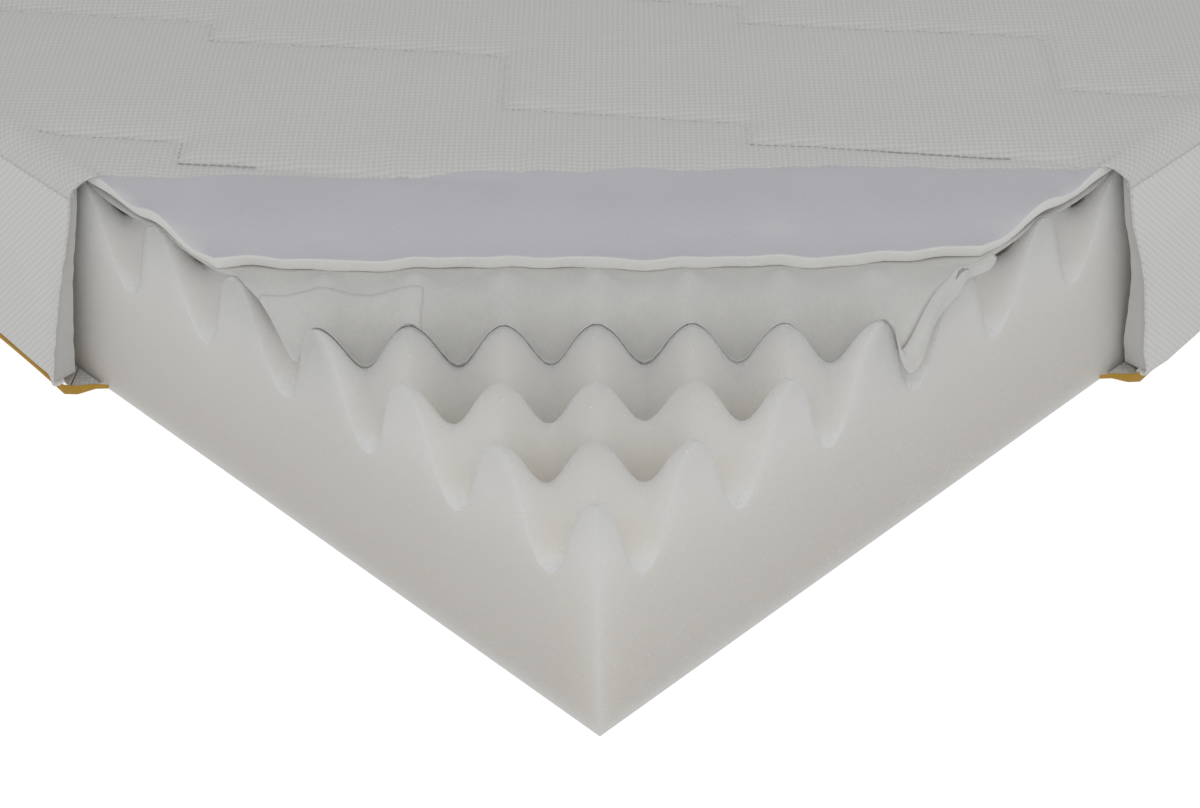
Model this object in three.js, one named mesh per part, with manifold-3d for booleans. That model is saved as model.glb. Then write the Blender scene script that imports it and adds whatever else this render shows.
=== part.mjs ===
// Foam mattress with one corner of its cover opened: convoluted foam core, core lining, top wadding
// and a zip-off knitted cover. Millimetres, +Z up. The origin is the centre of the underside, X runs
// across the width and Y along the length. The opened corner is at +X, -Y.
import * as THREE from 'three';
import { mergeVertices } from 'three/addons/utils/BufferGeometryUtils.js';
import Module from 'manifold-3d';

const wasm = await Module();
wasm.setup();

// Driving dimensions
const WIDTH = 900;
const LENGTH = 2000;
const HEIGHT = 160;
const GAP = 0.3; // clearance between pieces that touch
const CORNER_RADIUS = 14; // the cover's upright corners

const BASE_THICKNESS = 3;
const CORE_INSET = 12; // outer face of the cover to the foam's side
const CORE_HEIGHT = 146;
const WAVE_PITCH = 66; // peak to peak along the foam's sides
const WAVE_DEPTH = 58; // peak to valley
const LINING_THICKNESS = 0.6;
const WADDING_THICKNESS = 4;
const TOP_THICKNESS = 5;

// How far each layer is cut back from the foam's corner: the sum of the two distances along the sides
const LINING_CUT = 212;
const WADDING_CUT = 273;
const TOP_CUT = 379;
const BORDER_CUT_TOP = 388; // along the side, at the upper edge of the border
const BORDER_CUT_BOTTOM = 420; // along the side, at the lower edge
const BASE_TRIM = 10; // the base is trimmed back this far under the bare foam

// Depths below are measured inwards from the cover's outer face
const KNIT_THICKNESS = 2.2;
const BORDER_DEPTH = 10.7;
const BORDER_BOTTOM = 12.3;
const BASE_DEPTH = 9.9;

// Zip
const TAPE_DEPTHS = [8.6, 9.6];
const COIL_DEPTHS = [6.3, 8.3];
const ZIP_CENTRE = 7.6;
const COIL_GAP = 1.2; // between the two rows, where the slider's wedge runs
const COIL_WIDTH = 1.7;
const LOWER_TAPE_BOTTOM = 0.4;
const SLIDER_LENGTH = 10;
const SLIDER_Y = -930; // the slider's middle, zip closed
const PULL_LENGTH = 22;
const PULL_PIN_DEPTH = 2.6;
const PULL_PIN_RADIUS = 0.7;

const HALF_W = WIDTH / 2;
const HALF_L = LENGTH / 2;
const CORE_X = HALF_W - CORE_INSET;
const CORE_Y = HALF_L - CORE_INSET;
const CORE_BOTTOM = BASE_THICKNESS + GAP;
const CORE_TOP = CORE_BOTTOM + CORE_HEIGHT;
const TOP_BOTTOM = HEIGHT - TOP_THICKNESS;
const BORDER_TOP = TOP_BOTTOM - GAP;

function finish(color, roughness, metalness = 0) {
  return new THREE.MeshStandardMaterial({ color, roughness, metalness });
}

const FOAM = finish(0xd6d3ca, 0.95);
const LINING = finish(0xe2e3e2, 0.7);
const WADDING = finish(0xc9cbd3, 0.95);
const KNIT = finish(0xcfcfcc, 0.9);
const TAPE = finish(0xc9961e, 0.8);
const COIL = finish(0xd8a62c, 0.45);
const METAL = finish(0xa9a9a6, 0.35, 0.9);

const mattress = new THREE.Group();

function addPiece(name, geometry, material) {
  const mesh = new THREE.Mesh(geometry, material);
  mesh.name = name;
  mattress.add(mesh);
  return mesh;
}

// A flat outline extruded from the height low to the height high
function slab(shape, low, high, curveSegments = 3) {
  const geometry = new THREE.ExtrudeGeometry(shape, { depth: high - low, bevelEnabled: false, curveSegments });
  return geometry.translate(0, 0, low);
}

function toSolid(geometry) {
  const bare = geometry.clone();
  bare.deleteAttribute('normal');
  bare.deleteAttribute('uv');
  const merged = mergeVertices(bare, 1e-4);
  const vertProperties = new Float32Array(merged.attributes.position.array);
  const triVerts = new Uint32Array(merged.index.array);
  return new wasm.Manifold(new wasm.Mesh({ numProp: 3, vertProperties, triVerts }));
}

function toGeometry(solid) {
  const mesh = solid.getMesh();
  const geometry = new THREE.BufferGeometry();
  geometry.setAttribute('position', new THREE.BufferAttribute(new Float32Array(mesh.vertProperties), 3));
  geometry.setIndex(new THREE.BufferAttribute(new Uint32Array(mesh.triVerts), 1));
  geometry.computeVertexNormals();
  return geometry;
}

function box(low, high) {
  const size = high.map((value, axis) => value - low[axis]);
  const middle = high.map((value, axis) => (value + low[axis]) / 2);
  return new THREE.BoxGeometry(...size).translate(...middle);
}

// Foam core: a block whose top is a field of rounded peaks, with a peak on the opened corner
function waveHeight(x, y) {
  const k = (2 * Math.PI) / WAVE_PITCH;
  const wave = Math.cos(k * (CORE_X - x)) * Math.cos(k * (y + CORE_Y));
  return CORE_TOP - WAVE_DEPTH / 2 + (WAVE_DEPTH / 2) * wave;
}

// Grid lines half a pitch apart, counted from the opened corner, and one on the far side
function gridLines(length) {
  const step = WAVE_PITCH / 2;
  const lines = [];
  for (let distance = 0; distance < length - step / 4; distance += step) lines.push(distance);
  lines.push(length);
  return lines;
}

function convolutedCore() {
  const across = gridLines(2 * CORE_X).map((distance) => CORE_X - distance).reverse();
  const along = gridLines(2 * CORE_Y).map((distance) => distance - CORE_Y);
  const points = [];
  const faces = [];
  const addPoint = (x, y, z) => points.push(x, y, z) / 3 - 1;
  const top = along.map((y) => across.map((x) => addPoint(x, y, waveHeight(x, y))));
  const lastRow = along.length - 1;
  const lastColumn = across.length - 1;
  for (let row = 0; row < lastRow; row += 1) {
    for (let column = 0; column < lastColumn; column += 1) {
      const [a, b] = [top[row][column], top[row][column + 1]];
      const [d, c] = [top[row + 1][column], top[row + 1][column + 1]];
      // Split between the two valleys, so that every peak stands alone
      if (points[3 * a + 2] > points[3 * b + 2]) faces.push(a, b, d, b, c, d);
      else faces.push(a, b, c, a, c, d);
    }
  }
  const rim = [
    ...top[0].slice(0, lastColumn),
    ...top.slice(0, lastRow).map((row) => row[lastColumn]),
    ...top[lastRow].slice(1).reverse(),
    ...top.slice(1).map((row) => row[0]).reverse(),
  ];
  const foot = rim.map((index) => addPoint(points[3 * index], points[3 * index + 1], CORE_BOTTOM));
  const centre = addPoint(0, 0, CORE_BOTTOM);
  rim.forEach((upper, index) => {
    const next = (index + 1) % rim.length;
    faces.push(foot[index], foot[next], rim[next], foot[index], rim[next], upper);
    faces.push(centre, foot[next], foot[index]);
  });
  const geometry = new THREE.BufferGeometry();
  geometry.setAttribute('position', new THREE.Float32BufferAttribute(points, 3));
  geometry.setIndex(faces);
  geometry.computeVertexNormals();
  return geometry;
}

// Outline of a flat layer whose opened corner is cut straight across
function layerOutline(halfX, halfY, radius, cut) {
  const cutX = CORE_X - cut + CORE_Y - halfY;
  const cutY = -CORE_Y + cut - CORE_X + halfX;
  const shape = new THREE.Shape();
  shape.moveTo(cutX, -halfY);
  shape.lineTo(halfX, cutY);
  shape.lineTo(halfX, halfY - radius);
  shape.absarc(halfX - radius, halfY - radius, radius, 0, Math.PI / 2);
  shape.lineTo(-halfX + radius, halfY);
  shape.absarc(-halfX + radius, halfY - radius, radius, Math.PI / 2, Math.PI);
  shape.lineTo(-halfX, -halfY + radius);
  shape.absarc(-halfX + radius, -halfY + radius, radius, Math.PI, 1.5 * Math.PI);
  shape.closePath();
  return shape;
}

function addLayers() {
  const liningBottom = CORE_TOP + GAP;
  const waddingBottom = liningBottom + LINING_THICKNESS + GAP;
  const lining = layerOutline(CORE_X, CORE_Y, CORNER_RADIUS, LINING_CUT);
  const wadding = layerOutline(CORE_X, CORE_Y, CORNER_RADIUS, WADDING_CUT);
  const panel = layerOutline(HALF_W, HALF_L, CORNER_RADIUS, TOP_CUT);
  addPiece('foam_core', convolutedCore(), FOAM);
  addPiece('core_lining', slab(lining, liningBottom, liningBottom + LINING_THICKNESS), LINING);
  addPiece('top_wadding', slab(wadding, waddingBottom, waddingBottom + WADDING_THICKNESS), WADDING);
  addPiece('top_panel', slab(panel, TOP_BOTTOM, HEIGHT), KNIT);
}

// The base panel, trimmed back under the bare foam so that the foam's lower edge shows
function addBase() {
  const x = HALF_W - BASE_DEPTH;
  const y = HALF_L - BASE_DEPTH;
  const cutX = CORE_X - BORDER_CUT_BOTTOM;
  const cutY = BORDER_CUT_BOTTOM - CORE_Y;
  const trimX = CORE_X - BASE_TRIM;
  const trimY = BASE_TRIM - CORE_Y;
  const radius = CORNER_RADIUS - BASE_DEPTH;
  const shape = new THREE.Shape();
  shape.moveTo(cutX, -y);
  shape.lineTo(cutX, trimY);
  shape.lineTo(trimX, trimY);
  shape.lineTo(trimX, cutY);
  shape.lineTo(x, cutY);
  shape.absarc(x - radius, y - radius, radius, 0, Math.PI / 2);
  shape.absarc(-x + radius, y - radius, radius, Math.PI / 2, Math.PI);
  shape.absarc(-x + radius, -y + radius, radius, Math.PI, 1.5 * Math.PI);
  shape.closePath();
  addPiece('base_panel', slab(shape, 0, BASE_THICKNESS), KNIT);
}

// One side of the border in its own frame: it faces -Y and its ends are mitred round the corners.
// An end that meets the opened corner is left square and trimmed afterwards.
function borderOutline(halfLength, halfDepth, depths, openEnd) {
  const [outer, inner] = depths;
  const outerRadius = CORNER_RADIUS - outer;
  const innerRadius = CORNER_RADIUS - inner;
  const centreX = halfLength - CORNER_RADIUS;
  const centreY = -halfDepth + CORNER_RADIUS;
  const down = 1.5 * Math.PI;
  const turn = (radius) => Math.PI / 4 - Math.asin(GAP / 2 / radius);
  const shape = new THREE.Shape();
  if (openEnd === 'right') {
    shape.moveTo(centreX, -halfDepth + outer);
    shape.lineTo(centreX, -halfDepth + inner);
  } else {
    shape.absarc(centreX, centreY, outerRadius, down, down + turn(outerRadius));
    shape.absarc(centreX, centreY, innerRadius, down + turn(innerRadius), down, true);
  }
  if (openEnd === 'left') {
    shape.lineTo(-centreX, -halfDepth + inner);
    shape.lineTo(-centreX, -halfDepth + outer);
  } else {
    shape.absarc(-centreX, centreY, innerRadius, down, down - turn(innerRadius), true);
    shape.absarc(-centreX, centreY, outerRadius, down - turn(outerRadius), down);
  }
  shape.closePath();
  return shape;
}

// A block that takes away everything from the slanted cut edge to the opened corner.
// direction is +1 where the corner lies towards +X in the side's own frame and -1 where it lies towards -X.
function openingCutter(halfLength, halfDepth, direction) {
  const reach = 2 * BORDER_CUT_BOTTOM;
  const rise = BORDER_TOP - BORDER_BOTTOM;
  const lean = Math.atan2(BORDER_CUT_BOTTOM - BORDER_CUT_TOP, rise);
  const cutter = new THREE.BoxGeometry(reach, 8 * CORE_INSET, 4 * HEIGHT);
  cutter.translate((direction * reach) / 2, 0, 0);
  cutter.rotateY(direction * lean);
  const middle = halfLength - CORE_INSET - (BORDER_CUT_TOP + BORDER_CUT_BOTTOM) / 2;
  return cutter.translate(direction * middle, -halfDepth, BORDER_BOTTOM + rise / 2);
}

const SIDES = [
  { name: 'foot', turn: 0, halfLength: HALF_W, halfDepth: HALF_L, openEnd: 'right', direction: 1 },
  { name: 'right', turn: Math.PI / 2, halfLength: HALF_L, halfDepth: HALF_W, openEnd: 'left', direction: -1 },
  { name: 'head', turn: Math.PI, halfLength: HALF_W, halfDepth: HALF_L },
  { name: 'left', turn: -Math.PI / 2, halfLength: HALF_L, halfDepth: HALF_W },
];

function borderSide(side, depths) {
  const outline = borderOutline(side.halfLength, side.halfDepth, depths, side.openEnd);
  let geometry = slab(outline, BORDER_BOTTOM, BORDER_TOP);
  if (side.openEnd) {
    const cutter = openingCutter(side.halfLength, side.halfDepth, side.direction);
    geometry = toGeometry(toSolid(geometry).subtract(toSolid(cutter)));
  }
  return geometry.rotateZ(side.turn);
}

function addBorder() {
  for (const side of SIDES) {
    addPiece(`border_${side.name}`, borderSide(side, [0, KNIT_THICKNESS]), KNIT);
    addPiece(`border_wadding_${side.name}`, borderSide(side, [KNIT_THICKNESS + GAP, BORDER_DEPTH]), WADDING);
  }
}

// A strip of the zip, standing round the mattress from one cut edge of the border to the other
function zipStrip(depths, low, high) {
  const [outer, inner] = depths;
  const startX = CORE_X - BORDER_CUT_BOTTOM;
  const endY = BORDER_CUT_BOTTOM - CORE_Y;
  const centreX = HALF_W - CORNER_RADIUS;
  const centreY = HALF_L - CORNER_RADIUS;
  const outerRadius = CORNER_RADIUS - outer;
  const innerRadius = CORNER_RADIUS - inner;
  const half = Math.PI / 2;
  const shape = new THREE.Shape();
  shape.moveTo(startX, -HALF_L + outer);
  shape.lineTo(startX, -HALF_L + inner);
  shape.absarc(-centreX, -centreY, innerRadius, -half, -2 * half, true);
  shape.absarc(-centreX, centreY, innerRadius, 2 * half, half, true);
  shape.absarc(centreX, centreY, innerRadius, half, 0, true);
  shape.lineTo(HALF_W - inner, endY);
  shape.lineTo(HALF_W - outer, endY);
  shape.absarc(centreX, centreY, outerRadius, 0, half);
  shape.absarc(-centreX, centreY, outerRadius, half, 2 * half);
  shape.absarc(-centreX, -centreY, outerRadius, 2 * half, 3 * half);
  shape.closePath();
  return slab(shape, low, high);
}

const COIL_LOW = ZIP_CENTRE - COIL_GAP / 2;
const COIL_HIGH = ZIP_CENTRE + COIL_GAP / 2;

function addZip() {
  addPiece('zip_tape_upper', zipStrip(TAPE_DEPTHS, COIL_HIGH, BORDER_BOTTOM - GAP), TAPE);
  addPiece('zip_tape_lower', zipStrip(TAPE_DEPTHS, LOWER_TAPE_BOTTOM, COIL_LOW), TAPE);
  addPiece('zip_coil_upper', zipStrip(COIL_DEPTHS, COIL_HIGH, COIL_HIGH + COIL_WIDTH), COIL);
  addPiece('zip_coil_lower', zipStrip(COIL_DEPTHS, COIL_LOW - COIL_WIDTH, COIL_LOW), COIL);
}

// The slider's section, as depth and height: front plate with two lips, thin wedge, back plate
function sliderSection() {
  const front = 4.6;
  const plate = COIL_DEPTHS[0] - GAP;
  const lip = TAPE_DEPTHS[0] - GAP;
  const back = TAPE_DEPTHS[1] + GAP;
  const rear = back + 1.1;
  const wedge = COIL_GAP / 2 - GAP;
  const inside = COIL_GAP / 2 + COIL_WIDTH + GAP;
  const outside = inside + 1;
  const backHalf = inside + 0.4;
  const upper = [
    [rear, backHalf], [back, backHalf], [back, wedge], [plate, wedge],
    [plate, inside], [lip, inside], [lip, outside], [front, outside],
  ];
  const lower = upper.map(([depth, height]) => [depth, -height]).reverse();
  return new THREE.Shape([...upper, ...lower].map(([depth, height]) => new THREE.Vector2(depth, height)));
}

// Slider and pull are built in the section's frame: X is the depth, Y the height, Z along the zip.
// This turns them upright on the left side, with the length along +Y.
function placeOnLeftSide(geometry) {
  return geometry.rotateX(-Math.PI / 2).translate(-HALF_W, SLIDER_Y, ZIP_CENTRE);
}

function slider() {
  const length = SLIDER_LENGTH;
  const body = new THREE.ExtrudeGeometry(sliderSection(), { depth: length, bevelEnabled: false });
  let solid = toSolid(body.translate(0, 0, -length / 2));
  for (const direction of [-1, 1]) {
    const ends = [direction * 2.4, direction * 3.4].sort((a, b) => a - b);
    const lug = box([1.6, ends[0], -1.3], [4.8, ends[1], 1.3]);
    solid = solid.add(toSolid(lug));
  }
  const pin = new THREE.CylinderGeometry(PULL_PIN_RADIUS, PULL_PIN_RADIUS, 6, 16).translate(PULL_PIN_DEPTH, 0, 0);
  return placeOnLeftSide(toGeometry(solid.add(toSolid(pin))));
}

// The pull: an eye round the slider's pin and a flat tab with a finger slot
function pull() {
  const half = 2.1;
  const thickness = 1.2;
  const eye = new THREE.CylinderGeometry(1.6, 1.6, 2 * half, 20).translate(PULL_PIN_DEPTH, 0, 0);
  const bore = new THREE.CylinderGeometry(0.95, 0.95, 4 * half, 20).translate(PULL_PIN_DEPTH, 0, 0);
  const tab = new THREE.Shape();
  tab.moveTo(0, -half);
  tab.lineTo(PULL_LENGTH - half, -half);
  tab.absarc(PULL_LENGTH - half, 0, half, -Math.PI / 2, Math.PI / 2);
  tab.lineTo(0, half);
  tab.closePath();
  const slot = new THREE.Path();
  slot.moveTo(PULL_LENGTH - 9, -0.9);
  slot.absarc(PULL_LENGTH - 3, 0, 0.9, -Math.PI / 2, Math.PI / 2);
  slot.absarc(PULL_LENGTH - 9, 0, 0.9, Math.PI / 2, 1.5 * Math.PI);
  tab.holes.push(slot);
  const plate = new THREE.ExtrudeGeometry(tab, { depth: thickness, bevelEnabled: false, curveSegments: 8 });
  plate.rotateY(-Math.PI / 2).translate(PULL_PIN_DEPTH + thickness / 2, 0, 0);
  const solid = toSolid(eye).add(toSolid(plate)).subtract(toSolid(bore));
  return placeOnLeftSide(toGeometry(solid));
}

addLayers();
addBase();
addBorder();
addZip();
addPiece('zip_slider', slider(), METAL);
addPiece('zip_pull', pull(), METAL);

export default mattress;
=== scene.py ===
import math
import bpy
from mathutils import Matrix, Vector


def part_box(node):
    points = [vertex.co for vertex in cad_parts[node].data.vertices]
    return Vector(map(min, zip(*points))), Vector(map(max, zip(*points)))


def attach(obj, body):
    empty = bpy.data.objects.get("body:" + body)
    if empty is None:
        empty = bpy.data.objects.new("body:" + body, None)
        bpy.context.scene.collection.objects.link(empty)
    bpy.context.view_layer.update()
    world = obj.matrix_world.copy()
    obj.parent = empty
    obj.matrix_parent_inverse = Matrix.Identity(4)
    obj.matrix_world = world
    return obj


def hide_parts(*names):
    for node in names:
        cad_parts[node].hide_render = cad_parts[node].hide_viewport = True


bl_info = {
    "name": "Opened Foam Mattress",
    "version": (1, 0, 0),
    "blender": (4, 5, 0),
    "location": "3D View > Sidebar > Mattress",
    "description": "Dresses the packed foam mattress: foam, lining, wadding, quilted knit cover and zip",
    "category": "Add Mesh",
}

import bmesh
import bpy
import numpy as np
from bpy.props import FloatProperty, FloatVectorProperty, PointerProperty
from bpy.types import Operator, Panel, PropertyGroup
from mathutils import Matrix, Vector

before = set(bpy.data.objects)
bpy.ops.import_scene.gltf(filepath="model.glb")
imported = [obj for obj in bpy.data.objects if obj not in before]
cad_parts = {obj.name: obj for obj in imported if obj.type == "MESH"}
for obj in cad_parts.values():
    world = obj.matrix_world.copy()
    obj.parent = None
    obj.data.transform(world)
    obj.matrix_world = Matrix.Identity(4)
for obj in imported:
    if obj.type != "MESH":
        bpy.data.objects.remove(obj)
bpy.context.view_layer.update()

# Measures read from the frame, in metres
CORE_LOW, CORE_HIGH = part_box("foam_core")
_, TOP_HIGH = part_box("top_panel")
LINING_LOW, LINING_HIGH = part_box("core_lining")
WADDING_LOW, WADDING_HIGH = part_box("top_wadding")
BASE_LOW, BASE_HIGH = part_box("base_panel")
HALF_WIDTH = TOP_HIGH.x
HALF_LENGTH = TOP_HIGH.y
HEIGHT = TOP_HIGH.z
CORE_TOP = CORE_HIGH.z
ROOT_BODY = "mattress"
HALF_SQRT = math.sqrt(0.5)


def corner_distances(x, y):
    """Distances from the opened foam corner: along the foot side and along the right side."""
    return CORE_HIGH.x - x, y - CORE_LOW.y


def straight_cut(node):
    """How far a CAD layer is cut back: the least sum of the two distances from the corner."""
    points = np.array([v.co[:2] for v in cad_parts[node].data.vertices])
    along_foot, along_right = corner_distances(points[:, 0], points[:, 1])
    return float((along_foot + along_right).min())


LINING_CUT = straight_cut("core_lining")
WADDING_CUT = straight_cut("top_wadding")
TOP_CUT = straight_cut("top_panel")
FOOT_LOW, FOOT_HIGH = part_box("border_foot")
TAPE_LOW, TAPE_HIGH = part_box("zip_tape_lower")
UPPER_TAPE_LOW, UPPER_TAPE_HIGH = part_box("zip_tape_upper")
COIL_LOW, COIL_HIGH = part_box("zip_coil_lower")
UPPER_COIL_LOW, UPPER_COIL_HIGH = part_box("zip_coil_upper")


# ---------------------------------------------------------------- settings

class MattressFoam(PropertyGroup):
    pitch: FloatProperty(name="Peak pitch", description="Peak to peak along the foam's sides",
                         default=0.066, min=0.02, unit="LENGTH")
    depth: FloatProperty(name="Wave depth", description="Peak to valley",
                         default=0.059, min=0.0, unit="LENGTH")
    saddle: FloatProperty(name="Saddle lift", description="How much fuller the saddles between peaks are",
                          default=0.005, unit="LENGTH")
    fullness: FloatProperty(name="Peak fullness",
                            description="How much rounder the peaks are than a plain wave",
                            default=0.0025, unit="LENGTH")
    colour: FloatVectorProperty(name="Foam colour", description="Colour of the foam", size=3,
                                subtype="COLOR", default=(0.90, 0.882, 0.85))


class MattressCover(PropertyGroup):
    roll: FloatProperty(name="Edge roll", description="Radius of the cover's upper edge",
                        default=0.014, unit="LENGTH")
    knit: FloatProperty(name="Knit thickness", description="Thickness of the knit",
                        default=0.0018, unit="LENGTH")
    bead: FloatProperty(name="Bead pitch", description="Pitch of the knit's beads",
                        default=0.0043, unit="LENGTH")
    quilt_depth: FloatProperty(name="Quilt depth", description="How deep a stitch line pulls in",
                               default=0.0042, unit="LENGTH")
    flare: FloatProperty(name="Flap flare", description="How far the cut ends of the border stand out",
                         default=0.013, unit="LENGTH")
    colour: FloatVectorProperty(name="Knit colour", description="Colour of the knit", size=3,
                                subtype="COLOR", default=(0.77, 0.77, 0.755))
    wadding_colour: FloatVectorProperty(name="Wadding colour", description="Colour of the wadding", size=3,
                                        subtype="COLOR", default=(0.70, 0.693, 0.735))
    lining_colour: FloatVectorProperty(name="Lining colour", description="Colour of the lining", size=3,
                                       subtype="COLOR", default=(0.90, 0.895, 0.87))


class MattressZip(PropertyGroup):
    tape_colour: FloatVectorProperty(name="Tape colour", description="Colour of the zip's tape", size=3,
                                     subtype="COLOR", default=(0.62, 0.36, 0.05))
    metal_colour: FloatVectorProperty(name="Slider colour", description="Colour of the slider", size=3,
                                      subtype="COLOR", default=(0.50, 0.49, 0.47))
    tooth_pitch: FloatProperty(name="Tooth pitch", description="Pitch of the coil's turns",
                               default=0.002, unit="LENGTH")


class MattressStage(PropertyGroup):
    floor_colour: FloatVectorProperty(name="Floor colour", description="Colour of the floor", size=3,
                                      subtype="COLOR", default=(0.93, 0.93, 0.93))
    lens: FloatProperty(name="Lens", description="Focal length on a 36 mm sensor", default=78.0)
    sky: FloatProperty(name="Sky light", description="Strength of the even light from above", default=0.44)
    bounce: FloatProperty(name="Bounce light", description="Strength of the even light from below",
                          default=0.60)


# ---------------------------------------------------------------- mesh helpers

def graded_lines(bands):
    """Distances from 0 on: bands is [(reach, step), ...], each with its own step."""
    lines = [0.0]
    for reach, step in bands:
        count = max(1, round((reach - lines[-1]) / step))
        lines.extend(np.linspace(lines[-1], reach, count + 1)[1:])
    return np.array(lines)


def grid_quads(rows, columns, start=0):
    index = np.arange(rows * columns).reshape(rows, columns) + start
    quads = np.stack([index[:-1, :-1], index[:-1, 1:], index[1:, 1:], index[1:, :-1]], axis=-1)
    return quads.reshape(-1, 4)


def ripple(x, y, length, seed):
    """Smooth irregularity from -1 to 1: a few fixed sine waves, the same on every run."""
    waves = 5
    total = 0.0
    for turn in range(waves):
        angle = 2.4 * turn + 1.7 * seed
        rate = 2 * math.pi * (0.6 + 0.35 * turn) / length
        total = total + np.sin(rate * (x * math.cos(angle) + y * math.sin(angle)) + 3.1 * seed * (turn + 1))
    return total / waves


def smooth_step(low, high, value):
    share = np.clip((value - low) / (high - low), 0, 1)
    return share * share * (3 - 2 * share)


def mesh_of(name, points, faces, uv=None):
    mesh = bpy.data.meshes.new(name)
    mesh.from_pydata(np.asarray(points).reshape(-1, 3).tolist(), [], [list(map(int, f)) for f in faces])
    if uv is not None:
        layer = mesh.uv_layers.new(name="cloth")
        corners = np.zeros(len(mesh.loops), np.int32)
        mesh.loops.foreach_get("vertex_index", corners)
        layer.data.foreach_set("uv", np.asarray(uv).reshape(-1, 2)[corners].ravel())
    return mesh


def add_piece(name, mesh, material, smooth=40.0, body=ROOT_BODY):
    mesh.materials.clear()
    mesh.materials.append(material)
    mesh.polygons.foreach_set("use_smooth", [True] * len(mesh.polygons))
    mesh.set_sharp_from_angle(angle=math.radians(smooth))
    piece = bpy.data.objects.new(name, mesh)
    bpy.context.scene.collection.objects.link(piece)
    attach(piece, body)
    return piece


def bake_modifiers(piece):
    """Applies the piece's modifiers to its mesh."""
    bpy.context.view_layer.update()
    result = piece.evaluated_get(bpy.context.evaluated_depsgraph_get())
    mesh = bpy.data.meshes.new_from_object(result)
    piece.modifiers.clear()
    old = piece.data
    piece.data = mesh
    bpy.data.meshes.remove(old)
    mesh.name = piece.name
    return mesh


def thicken(piece, thickness, offset=-1.0, bevel=0.0, segments=2):
    """Gives an open sheet its thickness and, where bevel isn't 0, rounds its edges."""
    solid = piece.modifiers.new("thickness", "SOLIDIFY")
    solid.thickness = thickness
    solid.offset = offset
    solid.use_even_offset = False
    if bevel:
        edge = piece.modifiers.new("soft edge", "BEVEL")
        edge.width = bevel
        edge.segments = segments
        edge.limit_method = "ANGLE"
        edge.angle_limit = math.radians(60)
    bake_modifiers(piece)


def closed_shell(outer, inner):
    """Points and faces of a closed piece between two grids of the same shape."""
    rows, columns = outer.shape[:2]
    total = rows * columns
    index = np.arange(total).reshape(rows, columns)
    faces = [grid_quads(rows, columns), grid_quads(rows, columns, total)[:, ::-1]]
    for line in (index[0, ::-1], index[:, 0], index[-1, :], index[::-1, -1]):
        faces.append(np.stack([line[:-1], line[1:], line[1:] + total, line[:-1] + total], axis=-1))
    points = np.concatenate([outer.reshape(-1, 3), inner.reshape(-1, 3)])
    return points, np.concatenate(faces)


def cut_outline(x, y, faces, cut):
    """A flat grid cut straight across the opened corner. Gives back its points and faces."""
    mesh = bmesh.new()
    verts = [mesh.verts.new((px, py, 0)) for px, py in zip(x.ravel(), y.ravel())]
    for face in faces:
        mesh.faces.new([verts[i] for i in face])
    place = Vector((CORE_HIGH.x - cut / 2, CORE_LOW.y + cut / 2, 0))
    geometry = mesh.verts[:] + mesh.edges[:] + mesh.faces[:]
    bmesh.ops.bisect_plane(mesh, geom=geometry, dist=1e-5, plane_co=place,
                           plane_no=(HALF_SQRT, -HALF_SQRT, 0), clear_outer=True)
    mesh.verts.index_update()
    points = np.array([v.co[:2] for v in mesh.verts])
    kept = [[v.index for v in face.verts] for face in mesh.faces]
    mesh.free()
    return points, kept


def sample(grid, step, along_foot, along_right):
    """Bilinear reading of a square grid that starts at the opened corner."""
    last = len(grid) - 1.001
    column = np.clip(along_foot / step, 0, last)
    row = np.clip(along_right / step, 0, last)
    i, j = row.astype(int), column.astype(int)
    fi, fj = row - i, column - j
    near = grid[i, j] * (1 - fj) + grid[i, j + 1] * fj
    far = grid[i + 1, j] * (1 - fj) + grid[i + 1, j + 1] * fj
    return near * (1 - fi) + far * fi


# ---------------------------------------------------------------- node helpers

def new_group(name, inputs, outputs):
    group = bpy.data.node_groups.new(name, "ShaderNodeTree")
    for label, kind, value in inputs:
        socket = group.interface.new_socket(name=label, in_out="INPUT", socket_type=kind)
        if value is not None:
            socket.default_value = value
    for label, kind in outputs:
        group.interface.new_socket(name=label, in_out="OUTPUT", socket_type=kind)
    start = group.nodes.new("NodeGroupInput")
    end = group.nodes.new("NodeGroupOutput")
    return group, start, end


def feed(tree, socket, value):
    """Sets a socket to a fixed value, or links another node's output to it."""
    if isinstance(value, bpy.types.NodeSocket):
        tree.links.new(value, socket)
    else:
        socket.default_value = value


def math_node(tree, operation, *values):
    node = tree.nodes.new("ShaderNodeMath")
    node.operation = operation
    for socket, value in zip(node.inputs, values):
        feed(tree, socket, value)
    return node.outputs[0]


def noise(tree, vector, scale, detail=2.0, roughness=0.5):
    node = tree.nodes.new("ShaderNodeTexNoise")
    for label, value in (("Vector", vector), ("Scale", scale), ("Detail", detail), ("Roughness", roughness)):
        feed(tree, node.inputs[label], value)
    return node.outputs[0]


def scaled(tree, vector, factor):
    node = tree.nodes.new("ShaderNodeVectorMath")
    node.operation = "SCALE"
    feed(tree, node.inputs[0], vector)
    feed(tree, node.inputs["Scale"], factor)
    return node.outputs[0]


def axes(tree, vector):
    """The x, y and z outputs of a vector."""
    node = tree.nodes.new("ShaderNodeSeparateXYZ")
    feed(tree, node.inputs[0], vector)
    return node.outputs


def map_range(tree, value, from_min, from_max, to_min=0.0, to_max=1.0):
    """Turns one span of a value into another, held at its ends."""
    node = tree.nodes.new("ShaderNodeMapRange")
    feed(tree, node.inputs["Value"], value)
    feed(tree, node.inputs["From Min"], from_min)
    feed(tree, node.inputs["From Max"], from_max)
    feed(tree, node.inputs["To Min"], to_min)
    feed(tree, node.inputs["To Max"], to_max)
    return node.outputs[0]


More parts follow.
